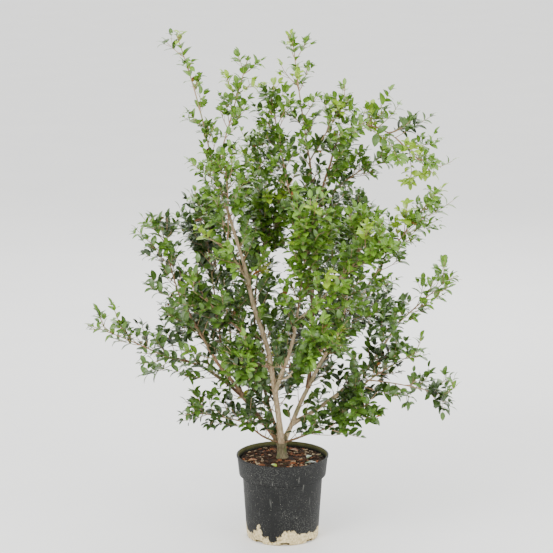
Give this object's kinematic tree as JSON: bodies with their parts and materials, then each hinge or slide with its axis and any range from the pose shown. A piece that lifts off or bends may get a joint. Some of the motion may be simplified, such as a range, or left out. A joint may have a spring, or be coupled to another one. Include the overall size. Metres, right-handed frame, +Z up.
{
  "type": "potted burkwood osmanthus shrub",
  "caption": "Airy evergreen shrub with small glossy leaves on several tan stems that fork from one short trunk, in a round black nursery pot of bark potting mix.",
  "frame": {"origin": "centre of the pot's flat underside", "axes": "+Z up, -Y towards the front view, +X to the right of it"},
  "size_m": [1.0404, 0.767, 1.4391],
  "materials": {
    "black_plastic": "matt black moulded plastic, scuffed and dusted with dried mud at its foot",
    "potting_mix": "loose dark bark mix with brown chips",
    "bark": "smooth tan to brown bark, grey-green on the trunk",
    "foliage": "glossy dark to yellow-green leaves"
  },
  "bodies": {
    "root": {"bough_arch_inner": "bark", "bough_arch_over": "bark", "bough_arch_rise": "bark", "bough_centre": "bark", "bough_centre_left": "bark", "bough_far_low_right": "bark", "bough_front": "bark", "bough_front_left": "bark", "bough_front_low": "bark", "bough_front_right": "bark", "bough_left": "bark", "bough_left_inner": "bark", "bough_left_long": "bark", "bough_left_low": "bark", "bough_left_rear": "bark", "bough_lower_right": "bark", "bough_rear_centre": "bark", "bough_rear_left": "bark", "bough_rear_low": "bark", "bough_rear_right": "bark", "bough_right": "bark", "bough_right_inner": "bark", "bough_right_low": "bark", "bough_shoulder": "bark", "foliage_arch_end": "foliage", "foliage_arch_inner": "foliage", "foliage_arch_top": "foliage", "foliage_centre": "foliage", "foliage_far_left": "foliage", "foliage_far_low_right": "foliage", "foliage_far_right": "foliage", "foliage_front": "foliage", "foliage_front_left": "foliage", "foliage_front_low": "foliage", "foliage_front_right": "foliage", "foliage_left": "foliage", "foliage_left_inner": "foliage", "foliage_left_rear": "foliage", "foliage_low_left": "foliage", "foliage_low_right": "foliage", "foliage_rear_left_high": "foliage", "foliage_rear_left_low": "foliage", "foliage_rear_low": "foliage", "foliage_rear_right_high": "foliage", "foliage_rear_right_low": "foliage", "foliage_rear_top": "foliage", "foliage_right": "foliage", "foliage_right_inner": "foliage", "foliage_right_middle": "foliage", "foliage_shoulder": "foliage", "foliage_top_centre": "foliage", "foliage_top_left": "foliage", "foliage_upper_left": "foliage", "foliage_upper_middle": "foliage", "foliage_upper_right": "foliage", "pot": "black_plastic", "soil": "potting_mix", "trunk": "bark"}
  },
  "joints": []
}
